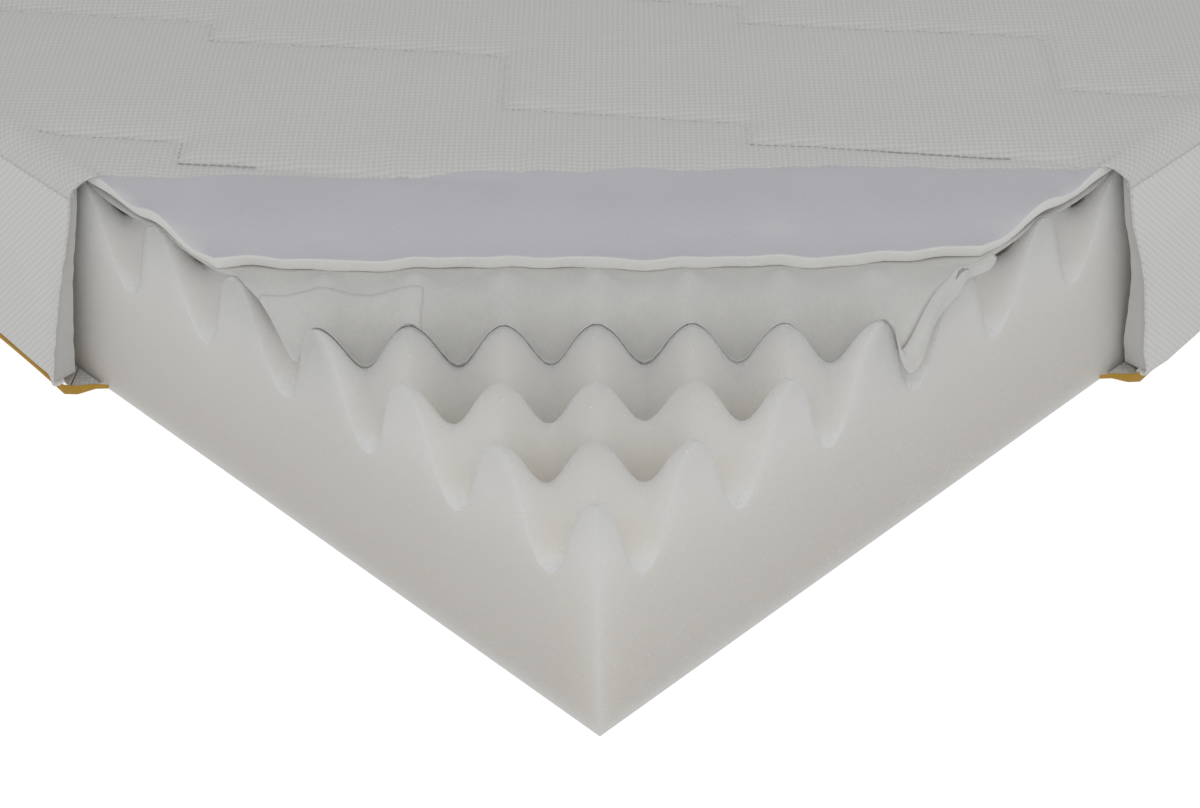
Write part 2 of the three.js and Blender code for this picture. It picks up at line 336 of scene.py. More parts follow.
def mixed(tree, factor, first, second):
    """Goes from the first colour to the second by the factor. Each is three numbers or an output."""
    node = tree.nodes.new("ShaderNodeMix")
    node.data_type = "RGBA"
    feed(tree, node.inputs["Factor"], factor)
    for label, colour in (("A", first), ("B", second)):
        linked = isinstance(colour, bpy.types.NodeSocket)
        feed(tree, node.inputs[label], colour if linked else (*colour, 1))
    return node.outputs["Result"]


def beaded_knit_group():
    """Staggered beads of a double knit, with a slightly uneven pitch and fine yarn fuzz."""
    name = "Beaded knit"
    if name in bpy.data.node_groups:
        return bpy.data.node_groups[name]
    group, start, end = new_group(
        name,
        [("Vector", "NodeSocketVector", None), ("Pitch", "NodeSocketFloat", 0.005),
         ("Fuzz", "NodeSocketFloat", 0.25)],
        [("Height", "NodeSocketFloat"), ("Shade", "NodeSocketFloat")])
    vector = start.outputs["Vector"]
    rate = math_node(group, "DIVIDE", 2 * math.pi, start.outputs["Pitch"])
    wander = noise(group, vector, 45.0, 1.0)
    drift = math_node(group, "MULTIPLY", math_node(group, "SUBTRACT", wander, 0.5), 1.6)
    x, y, _ = axes(group, scaled(group, vector, rate))
    across = math_node(group, "COSINE", math_node(group, "ADD", x, drift))
    along = math_node(group, "COSINE", math_node(group, "SUBTRACT", y, drift))
    bead = math_node(group, "MULTIPLY_ADD", math_node(group, "MULTIPLY", across, along), 0.5, 0.5)
    round_bead = math_node(group, "POWER", bead, 0.75)
    yarn = math_node(group, "SUBTRACT", noise(group, vector, 1500.0, 2.0, 0.6), 0.5)
    fuzz = math_node(group, "MULTIPLY", yarn, start.outputs["Fuzz"])
    group.links.new(math_node(group, "ADD", round_bead, fuzz), end.inputs["Height"])
    patch = math_node(group, "SUBTRACT", noise(group, vector, 14.0, 3.0), 0.5)
    shade = math_node(group, "MULTIPLY_ADD", patch, 0.25, round_bead)
    group.links.new(shade, end.inputs["Shade"])
    return group


def fine_pores_group():
    """Open pores and soft clouding of foam, fleece and cast metal, with a few specks of painted glint."""
    name = "Fine pores"
    if name in bpy.data.node_groups:
        return bpy.data.node_groups[name]
    group, start, end = new_group(
        name,
        [("Vector", "NodeSocketVector", None), ("Pore scale", "NodeSocketFloat", 900.0),
         ("Cloud scale", "NodeSocketFloat", 9.0)],
        [("Height", "NodeSocketFloat"), ("Shade", "NodeSocketFloat"), ("Glint", "NodeSocketFloat")])
    vector = start.outputs["Vector"]
    pores = noise(group, vector, start.outputs["Pore scale"], 3.0, 0.65)
    clouds = noise(group, vector, start.outputs["Cloud scale"], 3.0)
    cells = group.nodes.new("ShaderNodeTexVoronoi")
    cells.inputs["Scale"].default_value = 260.0
    group.links.new(vector, cells.inputs["Vector"])
    near = math_node(group, "LESS_THAN", cells.outputs["Distance"], 0.12)
    sparse = group.nodes.new("ShaderNodeSeparateColor")
    group.links.new(cells.outputs["Color"], sparse.inputs[0])
    chosen = math_node(group, "GREATER_THAN", sparse.outputs[0], 0.80)
    group.links.new(math_node(group, "MULTIPLY", near, chosen), end.inputs["Glint"])
    group.links.new(pores, end.inputs["Height"])
    shade = math_node(group, "MULTIPLY_ADD", pores, 0.3, math_node(group, "MULTIPLY", clouds, 0.7))
    group.links.new(shade, end.inputs["Shade"])
    return group


def woven_rib_group():
    """Fine ribs of woven tape and twisted thread."""
    name = "Woven ribs"
    if name in bpy.data.node_groups:
        return bpy.data.node_groups[name]
    group, start, end = new_group(
        name,
        [("Vector", "NodeSocketVector", None), ("Pitch", "NodeSocketFloat", 0.0008)],
        [("Height", "NodeSocketFloat"), ("Shade", "NodeSocketFloat")])
    vector = start.outputs["Vector"]
    rate = math_node(group, "DIVIDE", 2 * math.pi, start.outputs["Pitch"])
    x, y, z = axes(group, scaled(group, vector, rate))
    total = math_node(group, "ADD", x, y)
    diagonal = math_node(group, "SINE", math_node(group, "ADD", total, z))
    across = math_node(group, "SINE", math_node(group, "SUBTRACT", z, total))
    ribs = math_node(group, "MULTIPLY_ADD", math_node(group, "MULTIPLY", diagonal, across), 0.5, 0.5)
    worn = noise(group, vector, 60.0, 3.0)
    group.links.new(ribs, end.inputs["Height"])
    shade = math_node(group, "MULTIPLY_ADD", ribs, 0.5, math_node(group, "MULTIPLY", worn, 0.5))
    group.links.new(shade, end.inputs["Shade"])
    return group


def new_material(name, roughness, sheen=0.0, metallic=0.0):
    material = bpy.data.materials.new(name)
    material.use_nodes = True
    tree = material.node_tree
    shader = tree.nodes["Principled BSDF"]
    shader.inputs["Roughness"].default_value = roughness
    shader.inputs["Metallic"].default_value = metallic
    shader.inputs["Specular IOR Level"].default_value = 0.25 if not metallic else 0.5
    if sheen:
        shader.inputs["Sheen Weight"].default_value = sheen
        shader.inputs["Sheen Roughness"].default_value = 0.5
    return material, tree, shader


def coordinates(tree, uv=None):
    if uv:
        node = tree.nodes.new("ShaderNodeUVMap")
        node.uv_map = uv
        return node.outputs[0]
    return tree.nodes.new("ShaderNodeTexCoord").outputs["Object"]


def place_group(tree, group, vector, **values):
    node = tree.nodes.new("ShaderNodeGroup")
    node.node_tree = group
    tree.links.new(vector, node.inputs["Vector"])
    for label, value in values.items():
        node.inputs[label.replace("_", " ")].default_value = value
    return node


def tint(tree, shader, factor, colour, spread):
    """Gives the base a colour that the factor makes darker or lighter by the spread."""
    dark = tuple(c * (1 - spread) for c in colour)
    light = tuple(min(1.0, c * (1 + spread)) for c in colour)
    tinted = mixed(tree, factor, dark, light)
    tree.links.new(tinted, shader.inputs["Base Color"])
    return tinted


def bump(tree, shader, height, distance, strength):
    node = tree.nodes.new("ShaderNodeBump")
    node.inputs["Strength"].default_value = strength
    node.inputs["Distance"].default_value = distance
    tree.links.new(height, node.inputs["Height"])
    tree.links.new(node.outputs[0], shader.inputs["Normal"])


def upward_share(tree):
    """How far the surface faces up: 1 on a level top, 0 on a wall."""
    normal = tree.nodes.new("ShaderNodeNewGeometry").outputs["Normal"]
    return axes(tree, normal)[2]


# Painted shade: the foam's walls are darkened towards the floor
FOAM_PAINTED_SHADE_LOW = (0.72, 0.68, 0.625)
# Painted shade on the up-facing tops of the peaks
FOAM_PAINTED_SHADE_PEAKS = (0.70, 0.692, 0.665)
# Painted light in the valleys where they face up
FOAM_PAINTED_LIGHT_VALLEYS = (0.985, 0.975, 0.95)
# Painted glints on the foam
FOAM_GLINT = (0.95, 0.94, 0.90)


def foam_material():
    """Foam with painted shade low on its walls and on its up-facing peaks, painted light in its up-facing
    valleys, and a few painted glints.
    """
    material, tree, shader = new_material("Foam", 0.95)
    shader.inputs["Subsurface Weight"].default_value = 1.0
    shader.inputs["Subsurface Radius"].default_value = (1.0, 0.96, 0.9)
    shader.inputs["Subsurface Scale"].default_value = 0.030
    place = coordinates(tree)
    pores = place_group(tree, fine_pores_group(), place, Pore_scale=1100.0, Cloud_scale=7.0)
    height = axes(tree, place)[2]
    upward = map_range(tree, upward_share(tree), 0.25, 0.80)
    # Painted shade, growing towards the floor on the walls
    shade_low_on_wall = map_range(tree, height, 0.13, 0.0, to_max=0.8)
    peak = map_range(tree, height, 0.116, 0.147)
    valley = map_range(tree, height, 0.125, 0.095)
    # Painted shade on the peaks, strongest where they face up
    share = math_node(tree, "MULTIPLY_ADD", upward, 0.45, 0.55)
    peak_shade = math_node(tree, "MULTIPLY", share, peak)
    # Painted light in the valleys, where they face up
    valley_light = math_node(tree, "MULTIPLY", upward, valley)
    colour = tint(tree, shader, pores.outputs["Shade"], bpy.context.scene.mattress_foam.colour, 0.06)
    # Painted shade, painted light and painted glints laid over the foam's own colour
    for factor, layer in ((shade_low_on_wall, FOAM_PAINTED_SHADE_LOW), (peak_shade, FOAM_PAINTED_SHADE_PEAKS), (valley_light, FOAM_PAINTED_LIGHT_VALLEYS),
                          (pores.outputs["Glint"], FOAM_GLINT)):
        colour = mixed(tree, factor, colour, layer)
    tree.links.new(colour, shader.inputs["Base Color"])
    bump(tree, shader, pores.outputs["Height"], 0.0007, 0.6)
    return material


def wadding_material():
    """Wadding with painted light on its rounded rim: where the surface turns from level, it takes the
    lining's paler colour.
    """
    cover = bpy.context.scene.mattress_cover
    material, tree, shader = new_material("Wadding", 0.95, sheen=0.25)
    fuzz = place_group(tree, fine_pores_group(), coordinates(tree), Pore_scale=420.0, Cloud_scale=16.0)
    body = tint(tree, shader, fuzz.outputs["Shade"], cover.wadding_colour, 0.07)
    # Painted light: the less the surface faces up, the paler it is made
    rim = map_range(tree, upward_share(tree), 0.94, 0.72)
    tree.links.new(mixed(tree, rim, body, cover.lining_colour), shader.inputs["Base Color"])
    bump(tree, shader, fuzz.outputs["Height"], 0.0009, 0.5)
    return material


def shaded_fleece_material():
    """The fleece behind the border: the lining's colour darkened by painted shade, and varying with its
    pile.
    """
    material, tree, shader = new_material("Border fleece", 0.95, sheen=0.2)
    fuzz = place_group(tree, fine_pores_group(), coordinates(tree), Pore_scale=350.0, Cloud_scale=25.0)
    # Painted shade: the fleece is the lining's colour made darker
    colour = tuple(c * 0.74 for c in bpy.context.scene.mattress_cover.lining_colour)
    tint(tree, shader, fuzz.outputs["Shade"], colour, 0.10)
    bump(tree, shader, fuzz.outputs["Height"], 0.0012, 0.6)
    return material


def lining_material():
    """Thin cloth that lets the foam show through, less where its fibres bunch."""
    material, tree, shader = new_material("Lining", 0.75, sheen=0.1)
    fibres = place_group(tree, fine_pores_group(), coordinates(tree), Pore_scale=500.0, Cloud_scale=30.0)
    tint(tree, shader, fibres.outputs["Shade"], bpy.context.scene.mattress_cover.lining_colour, 0.06)
    bump(tree, shader, fibres.outputs["Height"], 0.0004, 0.5)
    cover = math_node(tree, "MULTIPLY_ADD", fibres.outputs["Shade"], 0.30, 0.58)
    tree.links.new(cover, shader.inputs["Alpha"])
    return material


def knit_material(name, painted_brightness=1.0):
    cover = bpy.context.scene.mattress_cover
    material, tree, shader = new_material(name, 0.85, sheen=0.2)
    beads = place_group(tree, beaded_knit_group(), coordinates(tree, "cloth"), Pitch=cover.bead)
    # painted_brightness scales the knit's colour: above 1 for painted light, below 1 for painted shade
    tint(tree, shader, beads.outputs["Shade"], tuple(c * painted_brightness for c in cover.colour), 0.08)
    bump(tree, shader, beads.outputs["Height"], 0.0008, 0.5)
    return material


def tape_material(name, colour, pitch):
    """Woven tape or twisted thread."""
    material, tree, shader = new_material(name, 0.7, sheen=0.15)
    ribs = place_group(tree, woven_rib_group(), coordinates(tree), Pitch=pitch)
    tint(tree, shader, ribs.outputs["Shade"], colour, 0.35)
    bump(tree, shader, ribs.outputs["Height"], 0.0003, 0.6)
    return material


def coil_material():
    material, tree, shader = new_material("Zip coil nylon", 0.35)
    pores = place_group(tree, fine_pores_group(), coordinates(tree), Pore_scale=700.0, Cloud_scale=40.0)
    tint(tree, shader, pores.outputs["Shade"], bpy.context.scene.mattress_zip.tape_colour, 0.15)
    return material


def metal_material():
    material, tree, shader = new_material("Slider metal", 0.35, metallic=1.0)
    cast = place_group(tree, fine_pores_group(), coordinates(tree), Pore_scale=1600.0, Cloud_scale=300.0)
    tint(tree, shader, cast.outputs["Shade"], bpy.context.scene.mattress_zip.metal_colour, 0.12)
    rough = math_node(tree, "MULTIPLY_ADD", cast.outputs["Shade"], 0.25, 0.22)
    tree.links.new(rough, shader.inputs["Roughness"])
    bump(tree, shader, cast.outputs["Height"], 0.0001, 0.4)
    return material


# ---------------------------------------------------------------- foam core

# How far the cut block strays from the regular wave, sideways and in height
FOAM_STRAY = 0.0012


def foam_height(along_foot, along_right):
    """Height of the convoluted top, with the small unevenness of a cut block."""
    foam = bpy.context.scene.mattress_foam
    rate = 2 * math.pi / foam.pitch
    a = along_foot + FOAM_STRAY * ripple(along_foot, along_right, 0.16, 1)
    b = along_right + FOAM_STRAY * ripple(along_foot, along_right, 0.16, 2)
    wave = np.cos(rate * a) * np.cos(rate * b)
    saddle = np.abs(np.sin(rate * a) * np.sin(rate * b)) ** 1.4
    uneven = FOAM_STRAY * (ripple(along_foot, along_right, 0.11, 3) - 1)
    fuller = foam.fullness * np.sin(math.pi * wave) + foam.saddle * saddle
    return CORE_TOP - foam.depth * (1 - wave) / 2 + fuller + uneven


def foam_block():
    pitch = bpy.context.scene.mattress_foam.pitch
    width = CORE_HIGH.x - CORE_LOW.x
    length = CORE_HIGH.y - CORE_LOW.y
    fine = [(0.235, 0.0017), (0.42, 0.0033)]
    across = graded_lines(fine + [(width, pitch / 4)])
    along = graded_lines(fine + [(length, pitch / 4)])
    a, b = np.meshgrid(across, along)
    x, y, z = CORE_HIGH.x - a, CORE_LOW.y + b, foam_height(a, b)
    rows, columns = x.shape
    top = np.stack([x, y, z], axis=-1).reshape(-1, 3)
    faces = grid_quads(rows, columns)[:, ::-1].tolist()
    index = np.arange(rows * columns).reshape(rows, columns)
    rim = np.concatenate([index[0, :-1], index[:-1, -1], index[-1, :0:-1], index[:0:-1, 0]])
    foot = top[rim].copy()
    foot[:, 2] = CORE_LOW.z
    start = len(top)
    count = len(rim)
    for i in range(count):
        following = (i + 1) % count
        faces.append([rim[i], rim[following], start + following, start + i])
    faces.append([start + i for i in range(count)])
    return mesh_of("foam_block", np.concatenate([top, foot]), faces)


class MATTRESS_OT_foam(Operator):
    """Cut the foam block with its convoluted top"""
    bl_idname = "mattress.foam"
    bl_label = "Foam block"

    def execute(self, context):
        block = add_piece("foam_block", foam_block(), foam_material(), smooth=50.0)
        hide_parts("foam_core")
        return {"FINISHED"}


# ---------------------------------------------------------------- lining and wadding

LINING_FRONT = LINING_CUT - 0.010
LINING_GAP = 0.0004
LINING_CLOTH = 0.0003
# The relaxed grid of the lining: its step and how far it reaches from the opened corner
SHEET_STEP = 0.00275
SHEET_REACH = 0.47


def relaxed_sheet(floor, covered, slack, passes):
    """Heights of a light sheet laid on a bumpy floor. Each point sinks to a little below its
    neighbours' mean, but not below the floor."""
    height = np.full_like(floor, floor.max())
    height[~covered] = np.nan
    for _ in range(passes):
        padded = np.pad(height, 1, constant_values=np.nan)
        around = np.stack([padded[:-2, 1:-1], padded[2:, 1:-1], padded[1:-1, :-2], padded[1:-1, 2:]])
        known = ~np.isnan(around)
        mean = np.where(known, around, 0).sum(0) / np.maximum(known.sum(0), 1)
        height = np.where(covered, np.maximum(floor, mean - slack), np.nan)
        height[-1, :] = height[-2, :]
        height[:, -1] = height[:, -2]
    return np.where(covered, height, floor.max())


def lining_heights():
    lines = np.arange(0, SHEET_REACH, SHEET_STEP)
    a, b = np.meshgrid(lines, lines)
    floor = foam_height(a, b) + LINING_GAP
    covered = a + b > LINING_FRONT - 0.012
    passes = 420
    return relaxed_sheet(floor, covered, 0.000030, passes)


def wandering_edge(points, cut, reach, amount, seed, rounding=0.0):
    """Shifts the points near a cut edge along the diagonal, so that the cut isn't dead straight.
    Where rounding isn't 0, the cut also draws back near the foam's two walls."""
    along_foot, along_right = corner_distances(points[:, 0], points[:, 1])
    depth = (along_foot + along_right - cut) * HALF_SQRT
    across = (along_right - along_foot) * HALF_SQRT
    weight = np.exp(-np.maximum(depth, 0) / reach)
    shift = amount * (0.7 * ripple(across, 0.0, 0.16, seed) + 0.3 * ripple(across, 0.0, 0.035, seed + 1))
    wall = np.minimum(along_foot, along_right)
    shift = shift + rounding * np.exp(-(np.maximum(wall, 0) / 0.035) ** 2)
    moved = points.copy()
    moved[:, 0] -= HALF_SQRT * shift * weight
    moved[:, 1] += HALF_SQRT * shift * weight
    return moved


def flat_layer(low, high, cut, bands, reach, amount, seed, rounding=0.0):
    """Plan of a layer: a graded grid, cut across the corner with a slightly wandering edge."""
    across = graded_lines(bands + [(high.x - low.x, 0.03)])
    along = graded_lines(bands + [(high.y - low.y, 0.03)])
    a, b = np.meshgrid(across, along)
    faces = grid_quads(*a.shape)[:, ::-1]
    points, kept = cut_outline(high.x - a, low.y + b, faces, cut)
    return wandering_edge(points, cut, reach, amount, seed, rounding), kept


def lining_level(heights, x, y):
    """Height of the relaxed lining at any place, with its fine wrinkles. Just behind its front edge
    it clings to the foam."""
    along_foot, along_right = corner_distances(x, y)
    a, b = np.maximum(along_foot, 0), np.maximum(along_right, 0)
    behind = np.maximum(along_foot + along_right - LINING_FRONT, 0) * HALF_SQRT
    wrinkles = 0.0007 * np.abs(ripple(along_foot, along_right, 0.03, 8)) * np.exp(-behind / 0.04)
    cling = 0.92 * np.exp(-(np.maximum(behind - 0.005, 0) / 0.018) ** 2)
    laid = sample(heights, SHEET_STEP, a, b) + wrinkles
    return laid * (1 - cling) + (foam_height(a, b) + LINING_GAP) * cling + LINING_CLOTH


def lining_fold(heights):
    """The part of the lining that is folded back over itself beside the left wall."""
    left, right, width = -0.172, -0.089, 0.036
    s, t = np.meshgrid(np.linspace(left, right, 44), np.linspace(0.0, width, 18))
    front = LINING_FRONT * HALF_SQRT + 0.0014 + 0.0012 * ripple(s, 0.0, 0.05, 41)
    ragged = 0.0008 * ripple(t, 0.0, 0.03, 42) * smooth_step(-0.10, right, s)
    d = np.maximum(front + t, -s + 0.004)
    s = s + ragged
    along_foot, along_right = (d - s) * HALF_SQRT, (d + s) * HALF_SQRT
    x, y = CORE_HIGH.x - along_foot, CORE_LOW.y + along_right
    z = lining_level(heights, x, y) + 0.0006 + 0.0003 * ripple(x, y, 0.02, 43)
    return mesh_of("lining_fold", np.stack([x, y, z], axis=-1), grid_quads(*x.shape))


def lining_overhang(heights):
    """The tip of the lining that hangs over the right wall's upper edge."""
    near, far, bend = 0.199, 0.292, 0.0045
    v, t = np.meshgrid(np.linspace(near, far, 46), np.linspace(0.0, 1.0, 14))
    share = (v - near) / (far - near)
    length = 0.018 * smooth_step(0.0, 0.14, share) * (1 - share) ** 0.8 + 0.003
    run = t * length
    turn = np.minimum(run / bend, math.pi / 2)
    out = bend * np.sin(turn) - 0.0040
    drop = bend * (1 - np.cos(turn)) + np.maximum(run - bend * math.pi / 2, 0)
    folds = 0.0011 * np.sin(2 * math.pi * share * 3.2 + 2.0 * t) * t
    x = CORE_HIGH.x + out + folds + 0.0005
    y = CORE_LOW.y + v + 0.006 * t * (1 - share)
    edge = np.full_like(v, CORE_HIGH.x - 0.004)
    z = lining_level(heights, edge, CORE_LOW.y + v) + 0.0008 - drop
    return mesh_of("lining_overhang", np.stack([x, y, z], axis=-1), grid_quads(*x.shape)[:, ::-1])


class MATTRESS_OT_lining(Operator):
    """Lay the thin see-through lining on the foam's peaks"""
    bl_idname = "mattress.lining"
    bl_label = "Lining"

    def execute(self, context):
        heights = lining_heights()
        cloth = lining_material()
        bands = [(0.25, 0.003), (0.44, 0.0055)]
        margin = Vector((0.003, 0.003, 0))
        plan, faces = flat_layer(LINING_LOW + margin, LINING_HIGH - margin, LINING_FRONT, bands,
                                 0.014, 0.0024, 5, rounding=0.004)
        z = lining_level(heights, plan[:, 0], plan[:, 1])
        mesh = mesh_of("lining_sheet", np.column_stack([plan, z]), faces)
        sheet = add_piece("lining_sheet", mesh, cloth, smooth=60.0)
        thicken(sheet, LINING_CLOTH, offset=1.0)
        for loose in (lining_fold(heights), lining_overhang(heights)):
            extra = add_piece(loose.name, loose, cloth, smooth=60.0)
            thicken(extra, LINING_CLOTH, offset=1.0)
        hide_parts("core_lining")
        return {"FINISHED"}


WADDING_LOFT = 0.0074
WADDING_FRONT = WADDING_CUT + 0.007


def wadding_height(along_foot, along_right):
    """Top of the wadding: nearly level, and pressed down where the quilted panel covers it."""
    x = CORE_HIGH.x - along_foot
    y = CORE_LOW.y + along_right
    beyond = (along_foot + along_right - TOP_CUT) * HALF_SQRT
    open_level = WADDING_LOW.z + WADDING_LOFT - 0.0004
    covered_level = knit_level(x, y) - bpy.context.scene.mattress_cover.knit - 0.0008
    share = smooth_step(-0.030, 0.004, beyond)
    foam = bpy.context.scene.mattress_foam
    rate = 2 * math.pi / foam.pitch
    rise = 0.0011 * np.cos(rate * along_foot) * np.cos(rate * along_right)
    droop = 0.0030 * np.exp(-(along_foot + along_right - WADDING_FRONT) * HALF_SQRT / 0.012)
    wall = np.minimum(along_foot, along_right)
    beside = np.where(along_right < along_foot, along_foot, along_right)
    sag = np.exp(-np.maximum(wall, 0) / 0.014) * (0.0015 + 0.0085 * (1 - np.cos(rate * beside)) / 2)
    open_height = open_level + rise - droop - sag + 0.0006 * ripple(x, y, 0.07, 4)
    return open_height * (1 - share) + np.minimum(covered_level, HEIGHT) * share


class MATTRESS_OT_wadding(Operator):
    """Lay the soft wadding under the cover's top"""
    bl_idname = "mattress.wadding"
    bl_label = "Top wadding"

    def execute(self, context):
        bands = [(0.46, 0.0045), (0.60, 0.01)]
        plan, faces = flat_layer(WADDING_LOW, WADDING_HIGH, WADDING_FRONT, bands,
                                 0.022, 0.0046, 11, rounding=0.005)
        along_foot, along_right = corner_distances(plan[:, 0], plan[:, 1])
        z = wadding_height(along_foot, along_right)
        behind = np.maximum(along_foot + along_right - WADDING_FRONT, 0) * HALF_SQRT
        laid = lining_level(lining_heights(), plan[:, 0], plan[:, 1]) + WADDING_LOFT + 0.0001
        resting = np.exp(-(behind / 0.020) ** 2)
        z = z * (1 - resting) + np.minimum(z, laid) * resting
        mesh = mesh_of("wadding_layer", np.column_stack([plan, z]), faces)
        layer = add_piece("wadding_layer", mesh, wadding_material(), smooth=70.0)
        thicken(layer, WADDING_LOFT - 0.0002, offset=-1.0, bevel=0.0030, segments=5)
        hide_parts("top_wadding")
        return {"FINISHED"}


# ---------------------------------------------------------------- quilted top

# The quilting is a family of stepped stitch lines, all alike: each runs RUNS[0], drops DROPS[0], runs
# RUNS[1], drops DROPS[1] and goes on. Lines lie LINE_SPACING apart. The runs lean by QUILT_LEAN.
QUILT_LEAN = 0.133
QUILT_ORIGIN = (-0.054, 0.3288)
RUNS = (0.135, 0.173)
DROPS = (0.021, 0.057)
LINE_SPACING = 0.132


def quilt_frame(x, y):
    along_foot, along_right = corner_distances(x, y)
    across = (along_right - along_foot) * HALF_SQRT
    depth = (along_foot + along_right) * HALF_SQRT
    return across - QUILT_ORIGIN[0], depth + QUILT_LEAN * across - QUILT_ORIGIN[1]


def from_quilt_frame(p, q):
    across = p + QUILT_ORIGIN[0]
    depth = q + QUILT_ORIGIN[1] - QUILT_LEAN * across
    along_foot = (depth - across) * HALF_SQRT
    along_right = (depth + across) * HALF_SQRT
    return CORE_HIGH.x - along_foot, CORE_LOW.y + along_right


def quilt_segments():
    """One period of a stitch line, as pairs of points."""
    a = (0.0, 0.0)
    b = (RUNS[0], 0.0)
    c = (RUNS[0], -DROPS[0])
    d = (RUNS[0] + RUNS[1], -DROPS[0])
    e = (RUNS[0] + RUNS[1], -DROPS[0] - DROPS[1])
    return [(a, b), (b, c), (c, d), (d, e)]


def stitch_distance(x, y):
    """Distance of each point to the nearest stitch line."""
    p, q = quilt_frame(x, y)
    period = sum(RUNS)
    turns = np.floor(p / period)
    p = p - turns * period
    q = q + turns * sum(DROPS)
    nearest = np.full_like(p, 1.0)
    before = ((0.0, DROPS[1]), (0.0, 0.0))
    for (p0, q0), (p1, q1) in quilt_segments() + [before]:
        middle, half = (q0 + q1) / 2, abs(q0 - q1) / 2
        side = (q - middle + LINE_SPACING / 2) % LINE_SPACING - LINE_SPACING / 2
        gap_q = np.maximum(np.abs(side) - half, 0)
        gap_p = np.maximum(np.maximum(p0 - p, p - p1), 0)
        nearest = np.minimum(nearest, np.hypot(gap_p, gap_q))
    return nearest


def knit_level(x, y):
    """Height of the quilted top: puffed between the stitch lines."""
    cover = bpy.context.scene.mattress_cover
    distance = stitch_distance(x, y)
    groove = 0.55 * np.exp(-(distance / 0.0034) ** 2) + 0.45 * np.exp(-(distance / 0.017) ** 2)
    edge_x = HALF_WIDTH - cover.roll - np.abs(x)
    edge_y = HALF_LENGTH - cover.roll - np.abs(y)
    inside = smooth_step(-0.006, 0.012, np.minimum(edge_x, edge_y))
    swell = 0.0009 * ripple(x, y, 0.21, 6) + 0.0005 * ripple(x, y, 0.06, 7)
    return HEIGHT - cover.quilt_depth * groove * inside + swell * inside


def rolled_edge(px, py, radius):
    """Turns a flat plan down round the upper edge of the mattress. Gives x, y and the drop."""
    flat_x, flat_y = HALF_WIDTH - radius, HALF_LENGTH - radius
    over_x = np.maximum(np.abs(px) - flat_x, 0)
    over_y = np.maximum(np.abs(py) - flat_y, 0)
    reach = np.maximum(over_x, over_y)
    share = np.minimum(over_x, over_y) / np.maximum(reach, 1e-9)
    turn = np.where(over_x >= over_y, math.pi / 4 * share, math.pi / 2 - math.pi / 4 * share)
    angle = np.minimum(reach / radius, math.pi / 2)
    out = radius * np.sin(angle)
    drop = radius * (1 - np.cos(angle)) + np.maximum(reach - radius * math.pi / 2, 0)
    direct_x = np.where(over_y > 0, np.cos(turn), 1.0)
    direct_y = np.where(over_x > 0, np.sin(turn), 1.0)
    x = np.sign(px) * (np.minimum(np.abs(px), flat_x) + out * np.where(over_x > 0, direct_x, 0))
    y = np.sign(py) * (np.minimum(np.abs(py), flat_y) + out * np.where(over_y > 0, direct_y, 0))
    return x, y, drop


SEAM_DROP = 0.003
HEM_LEAN = 0.56


def quilted_top():
    cover = bpy.context.scene.mattress_cover
    hem = cover.roll * math.pi / 2 + SEAM_DROP
    flat_x, flat_y = HALF_WIDTH - cover.roll, HALF_LENGTH - cover.roll
    bands = [(hem, 0.0025), (hem + 0.46, 0.0030)]

    def lines(flat):
        full = 2 * (flat + hem)
        return graded_lines(bands + [(full - hem, 0.006), (full, 0.0025)]) - (flat + hem)

    px, py = np.meshgrid(-lines(flat_x), lines(flat_y))
    faces = grid_quads(*px.shape)[:, ::-1]
    close_x = np.clip(px, -flat_x, flat_x)
    close_y = np.clip(py, -flat_y, flat_y)
    plan, kept = cut_outline(close_x + HEM_LEAN * (px - close_x), close_y + HEM_LEAN * (py - close_y),
                             faces, TOP_CUT)
    close = np.column_stack([np.clip(plan[:, 0], -flat_x, flat_x), np.clip(plan[:, 1], -flat_y, flat_y)])
    plan = close + (plan - close) / HEM_LEAN
    x, y, drop = rolled_edge(plan[:, 0], plan[:, 1], cover.roll)
    flat = drop < 1e-9
    moved = wandering_edge(np.column_stack([x, y]), TOP_CUT, 0.020, 0.0062, 21)
    x = np.where(flat, moved[:, 0], x)
    y = np.where(flat, moved[:, 1], y)
    along_foot, along_right = corner_distances(x, y)
    depth = (along_foot + along_right - TOP_CUT) * HALF_SQRT
    across = (along_right - along_foot) * HALF_SQRT
    settle = 0.0030 * np.exp(-np.maximum(depth, 0) / 0.011) * (1 + 0.5 * ripple(across, 0.0, 0.09, 23))
    z = knit_level(x, y) - drop - np.where(flat, settle, 0)
    return mesh_of("quilted_top", np.column_stack([x, y, z]), kept, uv=plan)


def stitch_runs():
    """Every straight stretch of stitching on the flat of the top, as a pair of plan points."""
    cover = bpy.context.scene.mattress_cover
    period, fall = sum(RUNS), sum(DROPS)
    reach = math.hypot(2 * HALF_WIDTH, 2 * HALF_LENGTH)
    limit_x = HALF_WIDTH - cover.roll
    limit_y = HALF_LENGTH - cover.roll
    runs = []
    turns = int(reach / period) + 1
    for turn in range(-turns, turns + 1):
        low = int((-reach + fall * turn) / LINE_SPACING) - 1
        high = int((reach + fall * turn) / LINE_SPACING) + 1
        for line in range(low, high + 1):
            for start, end in quilt_segments():
                p = np.linspace(start[0], end[0], 24) + turn * period
                q = np.linspace(start[1], end[1], 24) - turn * fall + line * LINE_SPACING
                x, y = from_quilt_frame(p, q)
                along_foot, along_right = corner_distances(x, y)
                on_top = (np.abs(x) < limit_x) & (np.abs(y) < limit_y)
                on_top &= along_foot + along_right > TOP_CUT + 0.014
                if on_top.sum() > 1:
                    runs.append(np.column_stack([x[on_top], y[on_top]])[[0, -1]])
    return runs


